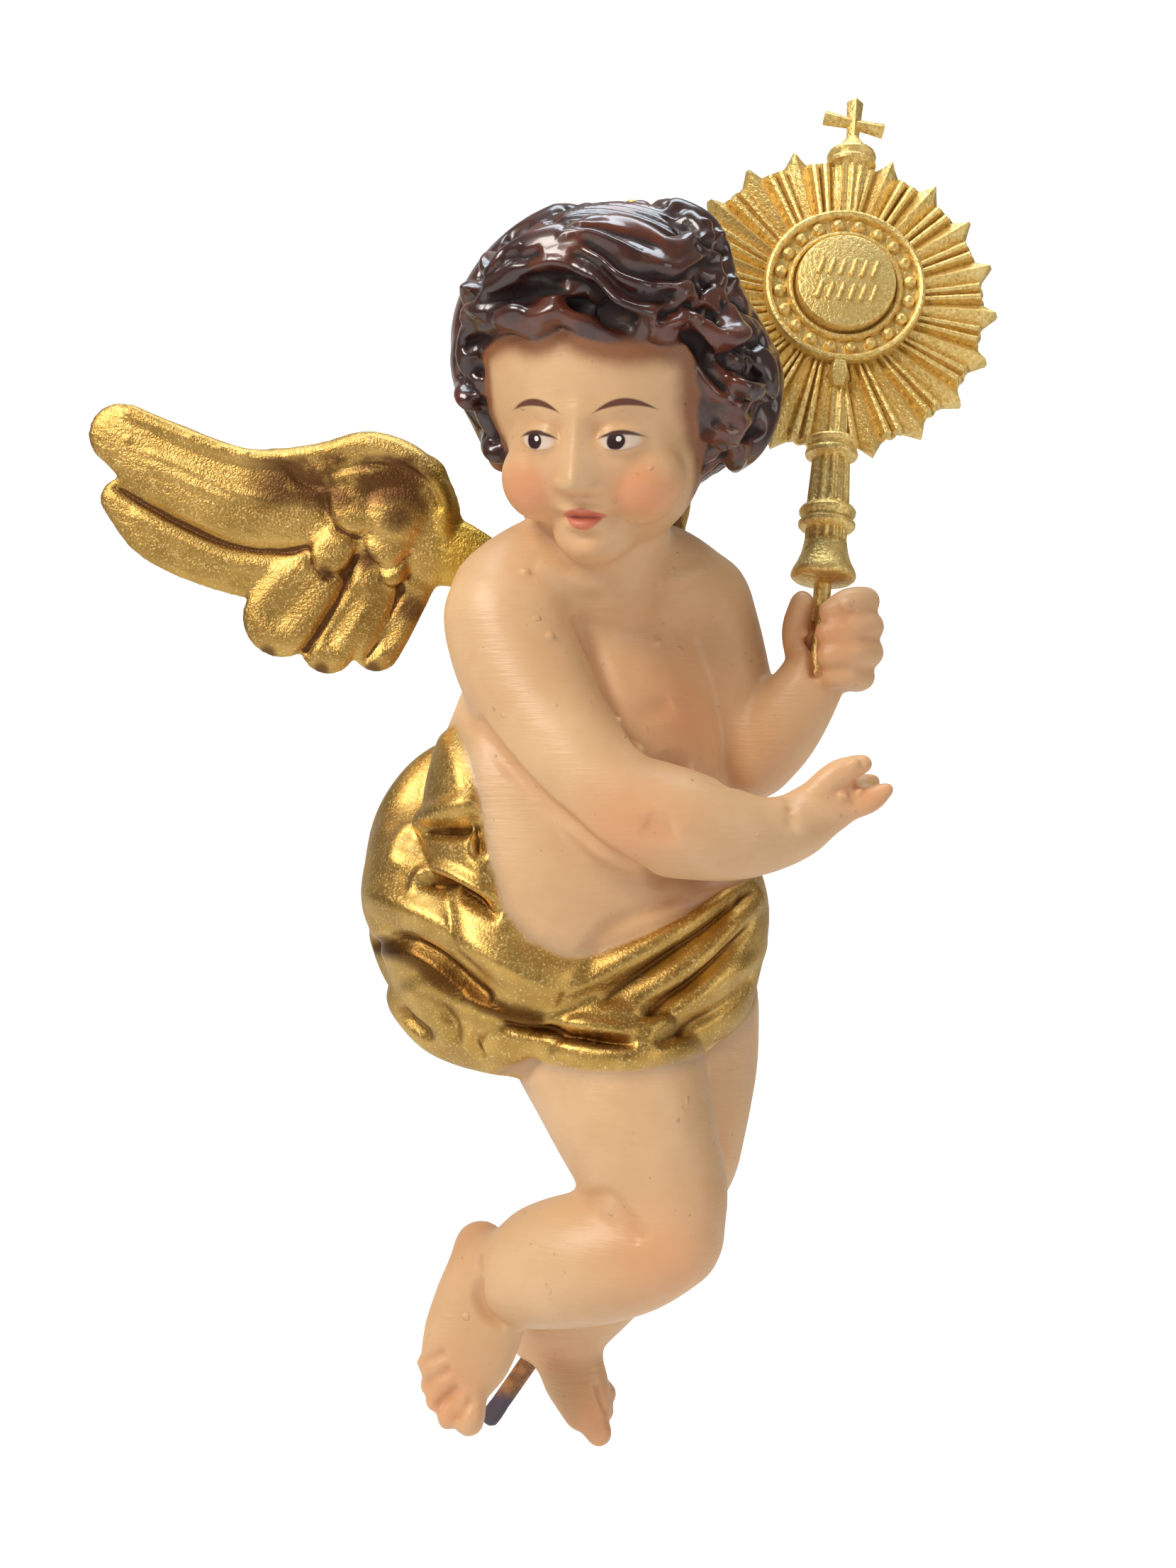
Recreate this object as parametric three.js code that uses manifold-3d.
// A small carved, painted and gilded cherub that flies beside a wall: it points with its right arm, carries a
// sunburst monstrance in its left fist, and wears a gilded cloth round the hips. Millimetres, +Z up, and the
// wall is the plane y = 0 behind it, so the viewer looks along +Y.
import * as THREE from 'three';
import { mergeVertices } from 'three/addons/utils/BufferGeometryUtils.js';
import Module from 'manifold-3d';

// Driving sizes
const figureHeight = 140; // crown of the hair to the lowest toe
const clearance = 0.3; // between a piece and the seat or bore that holds it
const padSink = 0.5; // how far the flat pad is cut into the rounded back
const wingThickness = 2.0;
const wingSpan = (43 / 140) * figureHeight; // the wings keep their share of the figure
const leftWingNarrowing = 0.74;
const stemRadius = 1.0;
const stemGripLength = 12; // bare stem below the flared foot of the monstrance
const monstranceHeight = 72.2;
const monstranceTurn = 0; // degrees that its face is turned to the viewer's right
const sunRadius = 19.6;
const sunNotchRadius = 17.2;
const sunThickness = 1.1;
const sunRays = 20;
const sunDrop = 0.9; // the sunburst's middle lies this far below the middle of the medallion
const medallionRadius = 9.4;
const medallionBeads = 20;
const crossSpan = 7.3;
const pegRadius = 0.95;
const pegTipLength = 2.6;

// The figure's points are given in 140ths of its height, measured from the pad on its back.
const share = figureHeight / 140;

const wasm = await Module();
wasm.setup();
const { Manifold, Mesh } = wasm;

// Closed geometry to a solid, and back
function toSolid(geometry) {
  const bare = geometry.clone();
  bare.deleteAttribute('normal');
  bare.deleteAttribute('uv');
  const merged = mergeVertices(bare, 1e-5);
  return new Manifold(new Mesh({
    numProp: 3,
    vertProperties: new Float32Array(merged.attributes.position.array),
    triVerts: new Uint32Array(merged.index.array),
  }));
}

function toGeometry(solid) {
  const mesh = solid.getMesh();
  const geometry = new THREE.BufferGeometry();
  const positions = new Float32Array(mesh.numVert * 3);
  for (let i = 0; i < mesh.numVert; i += 1) {
    positions[3 * i] = mesh.vertProperties[mesh.numProp * i];
    positions[3 * i + 1] = mesh.vertProperties[mesh.numProp * i + 1];
    positions[3 * i + 2] = mesh.vertProperties[mesh.numProp * i + 2];
  }
  geometry.setAttribute('position', new THREE.BufferAttribute(positions, 3));
  geometry.setIndex(new THREE.BufferAttribute(new Uint32Array(mesh.triVerts), 1));
  geometry.computeVertexNormals();
  return geometry;
}

function join(solids) {
  return solids.reduce((sum, next) => sum.add(next));
}

// A closed skin over a run of rings, with a pole at each end
function loft(rings, firstPole, lastPole) {
  const sides = rings[0].length;
  const points = rings.flat().concat([firstPole, lastPole]);
  const first = rings.length * sides;
  const last = first + 1;
  const lastRing = (rings.length - 1) * sides;
  const faces = [];
  for (let j = 0; j < sides; j += 1) {
    const next = (j + 1) % sides;
    faces.push([first, next, j]);
    faces.push([last, lastRing + j, lastRing + next]);
    for (let i = 0; i < rings.length - 1; i += 1) {
      const low = i * sides;
      const high = low + sides;
      faces.push([low + j, low + next, high + next]);
      faces.push([low + j, high + next, high + j]);
    }
  }
  let volume = 0;
  for (const [a, b, c] of faces) {
    volume += points[a].dot(new THREE.Vector3().crossVectors(points[b], points[c]));
  }
  const geometry = new THREE.BufferGeometry();
  geometry.setAttribute('position', new THREE.Float32BufferAttribute(points.flatMap((p) => [p.x, p.y, p.z]), 3));
  geometry.setIndex(faces.flatMap(([a, b, c]) => (volume > 0 ? [a, b, c] : [a, c, b])));
  return toSolid(geometry);
}

// A limb: round-ended, with a section [x, y, z, half width, half depth] at each station. The depth of a section
// lies as near to the line of sight as the limb's course allows. "grow" fattens it all round. A limb of few sides
// is small, and its ends are plain blunt points.
const sightLine = new THREE.Vector3(0, 1, 0);
const fewSides = 6;
const bluntEnd = 0.62; // how far a blunt end runs out, as a share of the half width
function limb(stations, { sides = 8, grow = 0, unit = share, across = sightLine } = {}) {
  const centres = stations.map(([x, y, z]) => new THREE.Vector3(x, y, z).multiplyScalar(unit));
  const rings = [];
  const poles = [];
  const domed = sides > fewSides;
  const reach = domed ? 1 : bluntEnd;
  stations.forEach((station, i) => {
    const wide = station[3] * unit + grow;
    const deep = (station[4] ?? station[3]) * unit + grow;
    const before = centres[Math.max(i - 1, 0)];
    const after = centres[Math.min(i + 1, centres.length - 1)];
    const along = new THREE.Vector3().subVectors(after, before).normalize();
    const side = new THREE.Vector3().crossVectors(along, across).normalize();
    const front = new THREE.Vector3().crossVectors(side, along).normalize();
    const steps = [[0, 1]];
    if (domed && i === 0) steps.unshift([-0.71, 0.71]);
    if (domed && i === centres.length - 1) steps.push([0.71, 0.71]);
    for (const [shift, shrink] of steps) {
      const ring = [];
      for (let j = 0; j < sides; j += 1) {
        const angle = (2 * Math.PI * j) / sides;
        ring.push(centres[i].clone()
          .addScaledVector(along, shift * wide)
          .addScaledVector(side, Math.cos(angle) * wide * shrink)
          .addScaledVector(front, Math.sin(angle) * deep * shrink));
      }
      rings.push(ring);
    }
    if (i === 0) poles.push(centres[i].clone().addScaledVector(along, -wide * reach - grow));
    if (i === centres.length - 1) poles.push(centres[i].clone().addScaledVector(along, wide * reach + grow));
  });
  return loft(rings, poles[0], poles[1]);
}

// A body of level sections [x, y, z, half width, half depth, turn in degrees], with a free surface function that
// gives each point's swell and lift by its angle and station
function uprightBody(stations, sides, surface = () => [1, 0]) {
  const rings = stations.map(([x, y, z, wide, deep, turn = 0], i) => {
    const yaw = THREE.MathUtils.degToRad(turn);
    const ring = [];
    for (let j = 0; j < sides; j += 1) {
      const angle = (2 * Math.PI * j) / sides;
      const [swell, lift] = surface(angle, i / (stations.length - 1));
      const u = Math.cos(angle) * wide * swell;
      const v = Math.sin(angle) * deep * swell;
      ring.push(new THREE.Vector3(
        x + u * Math.cos(yaw) - v * Math.sin(yaw),
        y + u * Math.sin(yaw) + v * Math.cos(yaw),
        z + lift,
      ).multiplyScalar(share));
    }
    return ring;
  });
  const poles = [rings[0], rings[rings.length - 1]].map((ring) => ring
    .reduce((sum, p) => sum.add(p), new THREE.Vector3()).divideScalar(sides));
  return loft(rings, poles[0], poles[1]);
}

// A rounded lump: an ellipsoid with a free surface function over its longitude and latitude
function lump(half, sides, rows, surface = () => 1) {
  const rings = [];
  for (let i = 1; i < rows; i += 1) {
    const latitude = Math.PI * (i / rows - 0.5);
    const ring = [];
    for (let j = 0; j < sides; j += 1) {
      const longitude = (2 * Math.PI * j) / sides;
      const swell = surface(longitude, latitude);
      ring.push(new THREE.Vector3(
        half[0] * Math.cos(latitude) * Math.cos(longitude) * swell,
        half[1] * Math.cos(latitude) * Math.sin(longitude) * swell,
        half[2] * Math.sin(latitude) * swell,
      ).multiplyScalar(share));
    }
    rings.push(ring);
  }
  const low = new THREE.Vector3(0, 0, -half[2] * surface(0, -Math.PI / 2)).multiplyScalar(share);
  const high = new THREE.Vector3(0, 0, half[2] * surface(0, Math.PI / 2)).multiplyScalar(share);
  return loft(rings, low, high);
}

function place(solid, matrix) {
  return solid.transform(matrix.elements.slice());
}

// Torso: the chest faces right of the viewer, the belly is round, and the shoulders slope
const torso = uprightBody([
  [-4, -15, 7.5, 5, 5],
  [-3.5, -12, 5.5, 10, 7.4, 33],
  [-3.7, -10.6, 2, 13.6, 9.2, 33],
  [-4, -10.9, -2, 14.8, 10.2, 33],
  [-5, -12.9, -8, 15.8, 11.6, 33],
  [-6, -14.8, -14, 16.8, 13, 33],
  [-6.6, -15.2, -20, 17.4, 13.8, 33],
  [-6.8, -15.8, -27, 17.4, 14, 33],
  [-6.5, -16, -35, 16.8, 13.2, 33],
  [-5.5, -16.5, -43, 14.5, 11.5, 33],
  [-4.5, -16.5, -47.5, 9, 8, 33],
], 14);
const shoulders = limb([
  [-13.6, -20.6, 2.4, 6.9],
  [-9.5, -18.5, 5.2, 7],
  [-3.5, -15, 6.2, 7.4],
  [3, -11.2, 5.2, 7.2],
  [7.4, -8.8, 3.4, 6.4],
], { sides: 9, across: new THREE.Vector3(0, 0, 1) });
const neck = limb([[-4.2, -16, 5, 8], [-3.8, -20, 11.5, 7.6], [-3.4, -23, 18, 7.6]], { sides: 9 });

// Right arm: across the body, pointing to the right, with a worn and chipped hand
const rightArm = [
  limb([
    [-14, -22, 0.5, 7],
    [-12.6, -23.5, -4.5, 6.9],
    [-9.8, -26, -10, 6.4],
    [-6.3, -28.5, -14.8, 6],
    [-1.4, -30.4, -19.8, 6],
  ], { sides: 9 }),
  limb([
    [-0.8, -30.5, -20.3, 6],
    [4.5, -31, -21.5, 5.7],
    [9.3, -30, -22.6, 4.9],
    [13, -28.5, -22.7, 4.1],
    [16.5, -27, -21.8, 3.6],
    [18.8, -26.5, -20.2, 3.4, 2.4],
    [21.6, -26, -18.6, 3.1, 2.1],
  ], { sides: 9 }),
  limb([[18.4, -27, -18.4, 1.5], [20.8, -27.5, -16.3, 1.5], [23.4, -27.5, -15.3, 1.1]], { sides: 6 }),
  limb([[22.2, -26.4, -19.8, 1.5], [24.4, -26.7, -19, 1.4], [26, -26.7, -18, 0.9]], { sides: 6 }),
  limb([[22.3, -25, -18.2, 1.4], [24.2, -24.5, -17.5, 1.3], [25, -24, -17.2, 1]], { sides: 6 }),
];

// Left arm: bent up beside the chest, with the fist closed round the stem
const leftArm = [
  limb([
    [7.6, -8.6, 3.6, 6.4],
    [9.4, -8.4, -1.5, 6],
    [11.2, -8.4, -7.3, 5.5],
    [13.2, -9.2, -13, 5.2],
  ], { sides: 9 }),
  limb([
    [13.9, -9.6, -14.2, 5],
    [16, -11.2, -12.1, 4.8],
    [17.8, -12.8, -9.5, 4.5],
    [19.7, -14, -6.3, 4],
    [21, -14.3, -4, 3.7, 3.3],
  ], { sides: 9 }),
  limb([[22.2, -12.8, -4.4, 3.5, 3], [22.9, -12.8, -1.4, 3.7, 3], [23, -13, 1.2, 3.4, 2.7]], { sides: 8 }),
];
const fistFingers = [
  [[25.4, -13, 2.6, 1.8], [25.9, -15.8, 3, 1.7], [23.5, -18.2, 2.6, 1.7], [20.4, -18.2, 1.4, 1.4]],
  [[25.8, -13, -0.2, 1.8], [26.2, -16, 0.2, 1.8], [23.5, -18.5, -0.2, 1.8], [20.1, -18.5, -1, 1.5]],
  [[25.8, -13, -2.9, 1.8], [26.1, -16, -2.7, 1.8], [23.5, -18.5, -2.9, 1.7], [20.2, -18.5, -3.4, 1.5]],
  [[25.3, -13, -5.3, 1.7], [25.4, -15.5, -5.4, 1.6], [23.3, -17.7, -5.4, 1.5], [20.8, -17.7, -5.7, 1.3]],
  [[19.4, -13, -3.6, 2], [18.2, -14.8, -0.2, 1.7], [18.7, -16.1, 2.9, 1.4]],
].map((finger) => limb(finger, { sides: 6 }));

// Legs: bent and crossed at the shins, toes pointing down
const rightLeg = [
  limb([
    [-5, -19, -42, 10.5],
    [-2.6, -21.5, -47.2, 10],
    [-0.9, -24, -51.6, 9.1],
    [0.8, -25.3, -56, 8.2],
    [2.6, -26.3, -60.5, 7.1],
    [3.2, -27, -64.3, 6],
  ], { sides: 10 }),
  limb([
    [3, -27, -64.6, 6],
    [-0.6, -26, -66.4, 6.6],
    [-4.8, -24.6, -67.4, 7.1],
    [-8.8, -23, -68.2, 7],
    [-12.2, -21.6, -69.6, 5.7],
    [-15, -20.3, -70.4, 4.4],
  ], { sides: 10 }),
  limb([
    [-17.2, -17, -69, 3.2],
    [-16.8, -19, -71.2, 4.5],
    [-17.6, -20.6, -75, 4.9, 3.4],
    [-18.8, -22, -78.8, 4.9, 2.7],
    [-19.6, -22.8, -81.4, 4.4, 2.2],
  ], { sides: 9 }),
];
const leftLeg = [
  limb([[5.5, -12, -43, 9], [6.4, -11.6, -48.6, 8], [6.6, -12, -53.5, 7], [6.6, -12.5, -58, 6]], { sides: 9 }),
  limb([
    [6.4, -12.5, -59.5, 5.8],
    [3.8, -11.5, -64.5, 5.8],
    [0.3, -10.3, -70.3, 5.6],
    [-3.2, -9.2, -76, 4.8],
    [-6.4, -8.4, -81, 3.7],
  ], { sides: 9 }),
  limb([
    [-9.8, -6.8, -83.6, 2.8],
    [-7.4, -8.4, -85.4, 4, 3],
    [-6, -9.8, -88, 3.6, 2.6],
    [-5.2, -10.6, -90, 3, 2.2],
  ], { sides: 8 }),
];
const toes = [
  [[-21.4, -21.8, -79, 1.2], [-22.8, -22.3, -79.7, 0.95]],
  [[-21, -22.3, -80.6, 1.2], [-22.3, -22.9, -81.9, 1.05]],
  [[-20.5, -22.7, -81.8, 1.25], [-21.6, -23.4, -83.4, 1.1]],
  [[-19.6, -23, -82.4, 1.3], [-20.2, -23.8, -85.1, 1.2]],
  [[-17.9, -23, -82, 2], [-17.9, -24, -85.2, 1.7]],
  [[-5.2, -10.8, -90, 1.9], [-4, -11.3, -91.9, 1.6]],
  [[-4.6, -9.2, -88.6, 1.4], [-3.3, -9.4, -90.2, 1.2]],
  [[-4.4, -8.6, -87.2, 1.4], [-3, -8.4, -88.6, 1.2]],
].map((toe) => limb(toe, { sides: 6 }));

// Head: turned to the viewer's left and looking down. Its shapes are made upright about the skull's middle and
// then put in place together.
const headTurn = THREE.MathUtils.degToRad(-18);
const headNod = THREE.MathUtils.degToRad(20);
const headTilt = THREE.MathUtils.degToRad(4);
const headPlace = new THREE.Matrix4().makeRotationZ(headTurn)
  .multiply(new THREE.Matrix4().makeRotationX(headNod))
  .multiply(new THREE.Matrix4().makeRotationY(headTilt))
  .setPosition(new THREE.Vector3(-2.2, -23.5, 26).multiplyScalar(share));
const atHead = (solid, x, y, z) => {
  const shift = new THREE.Matrix4().makeTranslation(x * share, y * share, z * share);
  return place(solid, new THREE.Matrix4().multiplyMatrices(headPlace, shift));
};

// Hair: thick waves combed from a parting to both sides, thinning to nothing over the face
const hairWaves = 8;
const hairWaveDepth = 0.045;
function hairSwell(longitude, latitude) {
  const front = Math.max(0, -Math.sin(longitude));
  const faceSide = Math.min(1, Math.max(0, (front - 0.42) / 0.3));
  const belowHairline = Math.min(1, Math.max(0, (0.42 - latitude) / 0.3));
  const wave = Math.sin(hairWaves * (longitude + 0.8 * latitude)) * Math.cos(latitude);
  return 1 + hairWaveDepth * wave - 0.26 * faceSide * belowHairline;
}
const curlCount = 4;
const curlRadius = 2.6;
const hairCurls = [];
for (let i = 0; i < curlCount; i += 1) {
  for (const side of [-1, 1]) {
    const around = (0.02 + 0.1 * i) * Math.PI;
    const low = -0.4 - 0.1 * Math.cos(around) - 0.08 * side;
    const out = 15 * Math.cos(low);
    const spot = new THREE.Vector3(side * out * Math.cos(around), 1 + out * Math.sin(around), 18 * low);
    hairCurls.push(atHead(lump([curlRadius, curlRadius, curlRadius * 1.25], 6, 4), spot.x, spot.y, spot.z));
  }
}
const head = [
  atHead(lump([14.4, 15, 15], 14, 8), 0, 0.4, 1.2),
  atHead(lump([10.4, 12, 12.4], 12, 8), 0.9, -3.8, -6.4),
  atHead(lump([3.8, 3.4, 3.8], 8, 5), -5, -11, -9.4),
  atHead(lump([3.8, 3.4, 3.8], 8, 5), 5, -11, -9.4),
  atHead(lump([3.2, 2.8, 2.8], 8, 5), 0.4, -10.8, -16),
  atHead(lump([1.9, 2.4, 2.2], 6, 4), 0, -15.6, -6.6),
  atHead(lump([2.9, 1.5, 1.2], 6, 4), 0.2, -14, -11.4),
  atHead(lump([1.6, 2.4, 3.6], 6, 4), 13.4, -1.5, -6),
  atHead(lump([1.6, 2.4, 3.6], 6, 4), -13.4, -1.5, -6),
  atHead(lump([17.2, 16.2, 16], 32, 10, hairSwell), 0, 0.4, 1.8),
  ...hairCurls,
];

// Drapery: a gilded cloth wound round the hips, high at the back of the viewer's left, low under the belly
const clothFolds = 7;
const clothFoldDepth = 0.045;
const clothRim = (angle) => 5.5 * Math.max(0, -Math.cos(angle)) - 6 * Math.max(0, -Math.sin(angle));
const cloth = uprightBody([
  [-7.5, -15.8, -24.5, 15, 11],
  [-7.6, -15.8, -25.5, 20.6, 13.4],
  [-7.6, -15.9, -29, 22.4, 14],
  [-7.8, -16, -33.5, 22.8, 13.8],
  [-7.2, -16.4, -38, 21.2, 13.2],
  [-6.8, -17, -42, 19.6, 12.4],
  [-6.8, -17.6, -45.5, 16.6, 11.2],
  [-5.6, -18.4, -48.4, 10.5, 8.4],
], 30, (angle, down) => {
  const fold = Math.sin(clothFolds * angle + 5 * down) + 0.5 * Math.sin(2 * clothFolds * angle - 3 * down);
  return [1 + clothFoldDepth * fold * Math.min(1, 3 * down), clothRim(angle) * (1 - down)];
});
const clothRolls = [
  [[-18.2, -11, -13.4, 2.4], [-22.4, -11.5, -17, 3.9], [-25, -12.5, -22.5, 4.9], [-25.6, -14, -29, 5.2]],
  [[-19.5, -16, -12.8, 2], [-18.8, -20.6, -18.4, 2.4], [-17.2, -23.4, -24.6, 2.4], [-13.6, -26.8, -31, 2.2],
    [-7.5, -28.6, -34.8, 2.1], [-1, -28, -34.2, 2.1], [4, -25.6, -31.4, 2], [9.6, -21.6, -27.8, 1.8]],
  [[-24, -17, -28.5, 2], [-17.5, -24.5, -34.5, 2.6], [-9, -28.6, -38, 2.8], [0, -27.8, -36.6, 2.8],
    [7, -24.5, -32.4, 2.6], [12.6, -18.5, -27.4, 2]],
  [[-23, -19.5, -41.6, 2.2], [-13, -27, -43, 2.6], [-2, -28.6, -42.4, 2.8], [7, -24.5, -38.5, 2.6], [13, -17.5, -32, 2.2]],
  [[-24.6, -17.5, -41, 3.2], [-21, -20, -44.4, 3], [-14, -23.5, -46.2, 2.6], [-5, -25.4, -46.6, 2.6]],
  [[-27, -13, -34, 3.4], [-24.5, -11, -40, 3.4], [-17, -8, -44, 3.2]],
].map((roll) => limb(roll, { sides: 7 }));

// Wings: long flight feathers, three short ones below, overlapping rows of coverts, and a thick leading edge.
// A feather runs out along the span from the root, and up towards the leading edge, with its rise from the wall.
const wingScale = wingSpan / 43;
const wingRise = wingThickness / 2;
const feathers = [
  [[12, 7, 0, 3.2], [22, 8, 0, 4], [32, 11.4, 0, 4.2], [39.4, 14.8, 0, 3.7]],
  [[12, 0, 0, 3.4], [22, 0.6, 0, 4.6], [31, 2.6, 0, 5], [38, 5.6, 0, 4.3]],
  [[10, 2, 0.2, 3], [17, -3, 0.2, 3.6], [21.4, -8.2, 0.2, 3]],
  [[8, 1, 0.6, 3], [12.6, -5, 0.6, 3.5], [15.6, -10.6, 0.6, 3]],
  [[6, 1, 1, 3], [8.4, -5, 1, 3.3], [9.8, -10.4, 1, 2.9]],
  [[3, 4, 1.1, 5.4], [10, 7.4, 1.1, 6.2], [18, 8.4, 0.9, 5]],
];
const wingCoverts = [
  [[9, 3, 1.9, 2.2], [15.4, -0.4, 1.9, 2.2]],
  [[11, 6, 1.9, 2.4], [19, 4, 1.9, 2.4]],
  [[6.4, 1.6, 2.2, 2], [10.8, -3.6, 2.2, 2]],
  [[3.6, 0.6, 2.4, 1.9], [6.4, -4.4, 2.4, 1.9]],
];
const leadingEdge = [[1.6, 7, 1.4, 1.7], [3.6, 11, 1.8, 1.9], [6.4, 12.9, 1.8, 1.9], [10.5, 13.2, 1.6, 1.7],
  [16.5, 11.9, 1.2, 1.5], [24, 12, 0.8, 1.2]];
const wingRoot = [[5, 2, 0, 4.6, 1.8], [0, 0.5, 0, 4, 1.9], [-4.5, -1.6, 0.6, 3.2, 1.9]];
const rightTenon = [-9, -4.2, 5.2, 3, 2]; // the right wing's root turns forward into the shoulder blade
function wing(root, outward, upward, narrowing, rootCourse, grow = 0) {
  const lift = new THREE.Vector3(0, -1, 0);
  const map = ([along, up, rise, wide, deep]) => {
    const spot = root.clone()
      .addScaledVector(outward, along * wingScale)
      .addScaledVector(upward, up * wingScale * narrowing)
      .addScaledVector(lift, rise);
    return [spot.x, spot.y, spot.z, wide * wingScale * Math.sqrt(narrowing), deep ?? wingRise];
  };
  const blades = feathers.concat(wingCoverts).map((blade) => limb(blade.map(map), { sides: 4, grow, unit: 1 }));
  const roll = limb(leadingEdge.map(([a, b, c, r]) => map([a, b, c, r, r])), { sides: 6, grow, unit: 1 });
  const tenon = limb(rootCourse.map(map), { sides: 8, grow, unit: 1 });
  return join([...blades, roll, tenon]);
}
const rightWingRoot = new THREE.Vector3(-20.6 * share, -7.4, 9 * share);
const leftWingRoot = new THREE.Vector3(-1.6 * share, -3.4, 8.2 * share);
const across = new THREE.Vector3(-1, 0, 0);
const skyward = new THREE.Vector3(0, 0, 1);
const raised = new THREE.Vector3(-0.21, 0, 0.978);
const raisedSide = new THREE.Vector3(0.978, 0, 0.21);
const rightWing = (grow) => wing(rightWingRoot, across, skyward, 1, [...wingRoot, rightTenon], grow);
const leftWing = (grow) => wing(leftWingRoot, raised, raisedSide, leftWingNarrowing, wingRoot, grow);

// Monstrance: made upright on its own axis, the foot of the stem at the origin, its face to the viewer
const stemFoot = new THREE.Vector3(20.3, -15, -6.6).multiplyScalar(share);
const stemCourse = new THREE.Vector3(6.5, 11.8, 70.9).normalize(); // it leans right, and back to the wall
const upright = new THREE.Vector3(0, 0, 1);
const stemTurn = new THREE.Quaternion().setFromUnitVectors(upright, stemCourse)
  .multiply(new THREE.Quaternion().setFromAxisAngle(upright, THREE.MathUtils.degToRad(monstranceTurn)));
const monstrancePlace = new THREE.Matrix4().makeRotationFromQuaternion(stemTurn).setPosition(stemFoot);
const rise = (monstranceHeight - stemGripLength) / 60.2;
const up = (height) => stemGripLength + (height - 12) * rise;
function turned(profile, sides, flutes = false) {
  const rings = profile.map(([radius, height, fluted = 0]) => {
    const ring = [];
    for (let j = 0; j < sides; j += 1) {
      const angle = (2 * Math.PI * j) / sides;
      const hollow = flutes && j % 2 ? 1 - fluted : 1;
      ring.push(new THREE.Vector3(radius * hollow * Math.cos(angle), radius * hollow * Math.sin(angle), height));
    }
    return ring;
  });
  const low = new THREE.Vector3(0, 0, profile[0][1]);
  const high = new THREE.Vector3(0, 0, profile[profile.length - 1][1]);
  return loft(rings, low, high);
}
const medallionHeight = up(48.1);
const sunHeight = medallionHeight - sunDrop;
const stem = turned([
  [stemRadius * 0.8, 0],
  [stemRadius, 0.3],
  [stemRadius, stemGripLength],
  [3.5, up(12.6)],
  [3.65, up(13.2)],
  [3.3, up(14)],
  [1.9, up(15)],
  [1.6, up(16.4)],
  [2.4, up(17.1), 0.1],
  [2.4, up(18.2), 0.1],
  [3.2, up(18.6)],
  [3.2, up(21)],
  [2.45, up(21.5), 0.12],
  [2.25, up(27), 0.12],
  [3, up(27.3)],
  [3, up(29.2)],
  [1.9, up(29.6), 0.12],
  [1.6, up(34.4), 0.12],
  [1.2, up(37.6)],
], 12, true);
const neckUp = turned([
  [1.4, up(56)],
  [2.3, up(63.2)],
  [2.75, up(63.6)],
  [2.75, up(65.4)],
  [1.5, up(66.8)],
  [0.8, up(67.4)],
], 8);

// The sunburst: a two-sided plate of pointed, ridged rays round the medallion
function sunburst() {
  const steps = 4;
  const count = sunRays * steps;
  const bands = [
    [0.42, 1, 0.9],
    [1, 0.35, 0.2],
  ];
  const ridge = [1, 0.55, 0.2, 0.55];
  const outline = [sunRadius, (sunRadius + sunNotchRadius) / 2, sunNotchRadius, (sunRadius + sunNotchRadius) / 2];
  const ringAt = ([out, crest, valley], side) => {
    const ring = [];
    for (let j = 0; j < count; j += 1) {
      const angle = (2 * Math.PI * j) / count;
      const radius = outline[j % steps] * out;
      const height = sunThickness * (valley + (crest - valley) * ridge[j % steps]) + 0.15;
      ring.push(new THREE.Vector3(
        radius * Math.cos(angle),
        side * height,
        sunHeight + radius * Math.sin(angle),
      ));
    }
    return ring;
  };
  const front = bands.map((band) => ringAt(band, -1));
  const back = bands.slice(1).map((band) => ringAt(band, 0.6)).reverse();
  const middle = new THREE.Vector3(0, 0, sunHeight);
  return loft([...front, ...back], middle.clone().setY(-1.15 * sunThickness), middle.clone().setY(0.7 * sunThickness));
}
function facing(profile, sides) {
  const flat = new THREE.Matrix4().makeRotationX(Math.PI / 2).setPosition(0, 0, medallionHeight);
  return place(turned(profile, sides), flat);
}
const medallion = [
  facing([
    [medallionRadius, 0.3],
    [medallionRadius, 1.7],
    [medallionRadius * 0.94, 2.1],
    [medallionRadius * 0.86, 1.5],
    [medallionRadius * 0.73, 1.5],
    [medallionRadius * 0.69, 2],
    [medallionRadius * 0.64, 1.7],
    [medallionRadius * 0.61, 3],
    [medallionRadius * 0.57, 3.3],
  ], 20),
];
for (let i = 0; i < medallionBeads; i += 1) {
  const angle = (2 * Math.PI * i) / medallionBeads;
  const bead = toSolid(new THREE.OctahedronGeometry(medallionRadius * 0.09, 0));
  medallion.push(place(bead, new THREE.Matrix4().makeTranslation(
    0.79 * medallionRadius * Math.cos(angle),
    -1.6,
    medallionHeight + 0.79 * medallionRadius * Math.sin(angle),
  )));
}

// The cross: ridged arms that widen to their ends, a little askew
const crossMiddle = up(69.3);
const crossTilt = THREE.MathUtils.degToRad(9);
const crossArm = (from, to, thin, thick) => {
  const along = new THREE.Vector3().subVectors(to, from).normalize();
  const turn = new THREE.Quaternion().setFromUnitVectors(new THREE.Vector3(0, 0, 1), along);
  const arm = turned([[thin, 0], [thick, from.distanceTo(to)]], 4);
  return place(arm, new THREE.Matrix4().makeRotationFromQuaternion(turn).setPosition(from));
};
const crossCentre = new THREE.Vector3(0, 0, crossMiddle);
const crossHalf = crossSpan / 2;
const crossSide = new THREE.Vector3(Math.cos(crossTilt), 0, -Math.sin(crossTilt)).multiplyScalar(crossHalf);
const cross = [
  crossArm(new THREE.Vector3(0, 0, up(66.6)), new THREE.Vector3(0, 0, monstranceHeight), 0.75, 1),
  crossArm(crossCentre, crossCentre.clone().add(crossSide), 0.7, 1),
  crossArm(crossCentre, crossCentre.clone().sub(crossSide), 0.7, 1),
];
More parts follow.
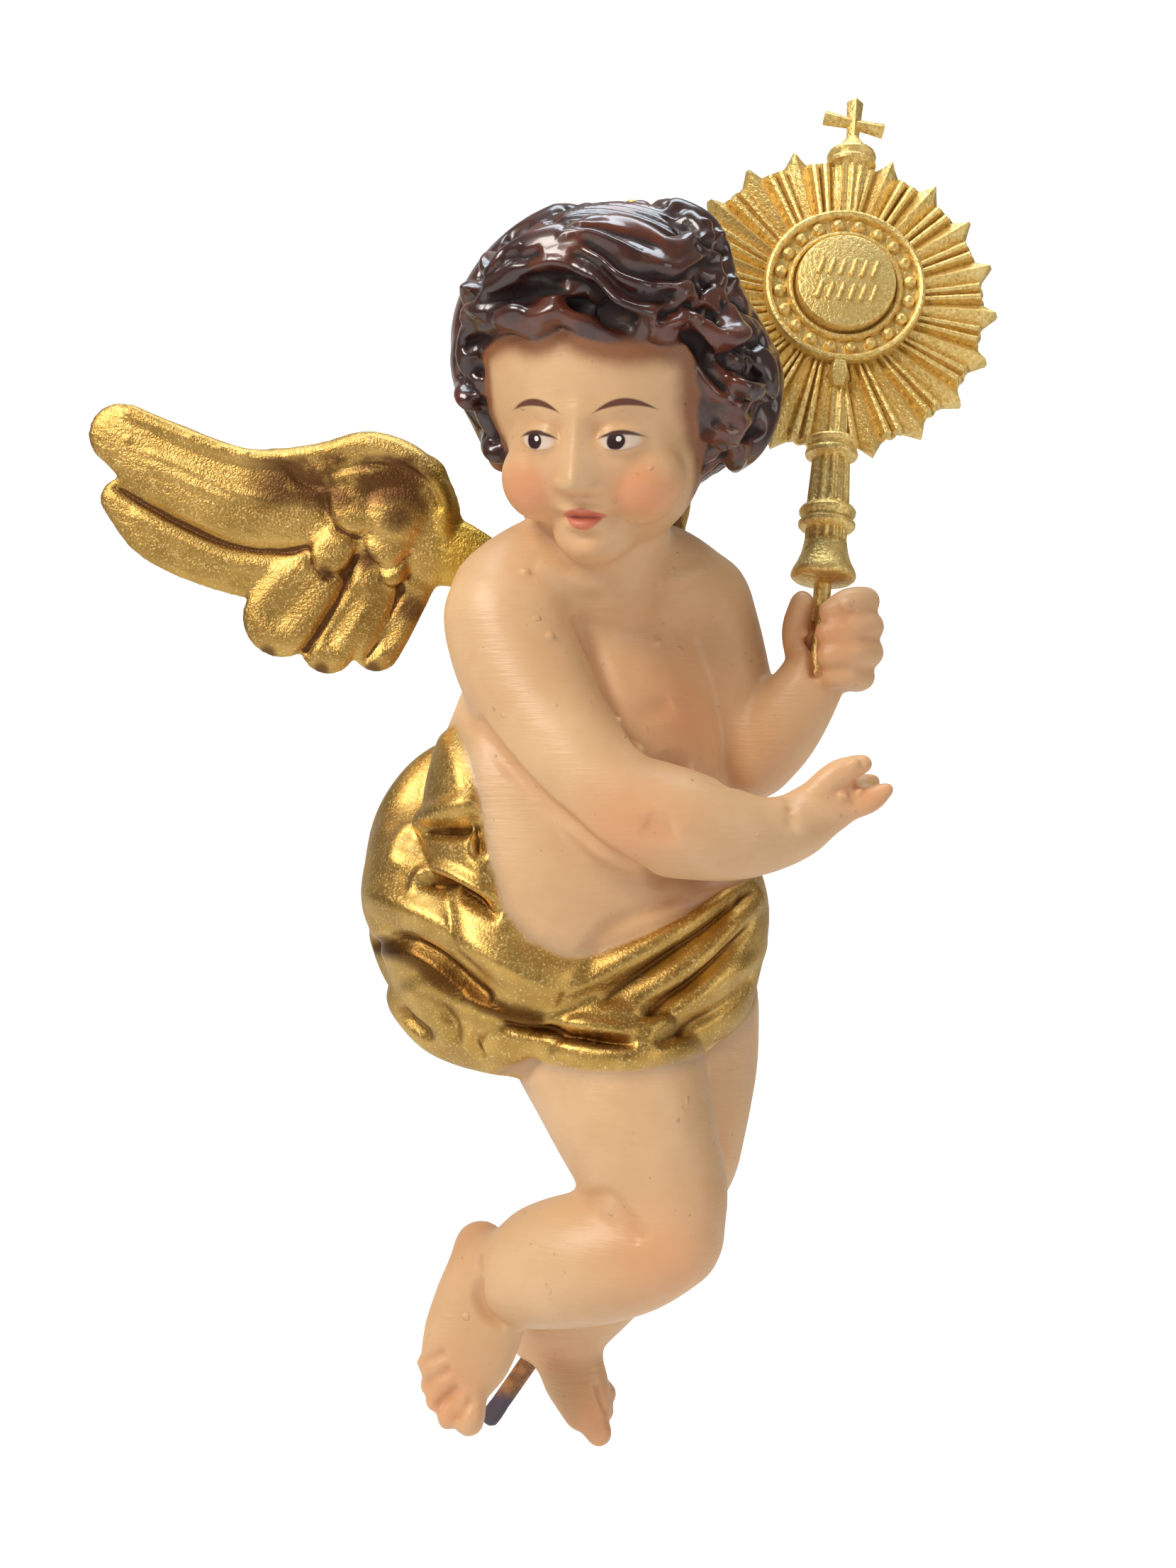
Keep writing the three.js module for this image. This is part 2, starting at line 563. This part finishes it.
const monstranceSolid = place(join([stem, neckUp, sunburst(), ...medallion, ...cross]), monstrancePlace);
const gripBore = place(turned([
  [stemRadius + clearance, -stemGripLength],
  [stemRadius + clearance, 2 * stemGripLength],
], 10), monstrancePlace);

// The peg: a slim rod let into the back of the crossed ankle, its lower end dark
const pegTop = new THREE.Vector3(-8.2, -7.4, -79.4).multiplyScalar(share);
const pegEnd = new THREE.Vector3(-17.2, -4, -93.4).multiplyScalar(share);
const pegTurn = new THREE.Quaternion().setFromUnitVectors(
  new THREE.Vector3(0, 0, 1),
  new THREE.Vector3().subVectors(pegEnd, pegTop).normalize(),
);
const pegPlace = new THREE.Matrix4().makeRotationFromQuaternion(pegTurn).setPosition(pegTop);
const pegLength = pegTop.distanceTo(pegEnd);
const pegShape = (radius, start) => place(turned([
  [radius * 0.9, start],
  [radius, start + 0.3],
  [radius, pegLength - pegTipLength],
  [radius * 1.02, pegLength - pegTipLength + 0.2],
  [radius * 1.02, pegLength - 0.4],
  [radius * 0.7, pegLength],
], 10), pegPlace);

// The figure's one carving, cut back for the wings, the stem and the peg, and flat where it meets the wall
const body = join([
  torso, shoulders, neck, ...rightArm, ...leftArm, ...fistFingers, ...rightLeg, ...leftLeg, ...toes, ...head,
  cloth, ...clothRolls,
]);
const wingSeatGrow = 1.6 * clearance; // a flat blade's faces move out by less than its edges
const wallSlab = new THREE.BoxGeometry(3 * figureHeight, figureHeight, 3 * figureHeight);
wallSlab.translate(0, figureHeight / 2, 0);
const figureSolid = body
  .translate([0, padSink, 0])
  .subtract(toSolid(wallSlab))
  .subtract(rightWing(wingSeatGrow))
  .subtract(leftWing(wingSeatGrow))
  .subtract(gripBore)
  .subtract(pegShape(pegRadius + clearance, -clearance));

// Materials: painted skin, leaf gold, and bare wood
const gold = { roughness: 0.35, metalness: 0.8 };
const materials = {
  skin: new THREE.MeshStandardMaterial({ color: 0xdcb08a, roughness: 0.35, metalness: 0 }),
  leaf: new THREE.MeshStandardMaterial({ color: 0xb5893a, ...gold }),
  bronzePaint: new THREE.MeshStandardMaterial({ color: 0xd4af55, roughness: 0.5, metalness: 0.6 }),
  wood: new THREE.MeshStandardMaterial({ color: 0x7a4a2a, roughness: 0.6, metalness: 0 }),
};

const cherub = new THREE.Group();
function addPiece(name, solid, material) {
  const piece = new THREE.Mesh(toGeometry(solid), material);
  piece.name = name;
  cherub.add(piece);
}
addPiece('figure', figureSolid, materials.skin);
addPiece('wing_right', rightWing(0), materials.leaf);
addPiece('wing_left', leftWing(0), materials.leaf);
addPiece('monstrance', monstranceSolid, materials.bronzePaint);
addPiece('peg', pegShape(pegRadius, 0), materials.wood);

export default cherub;
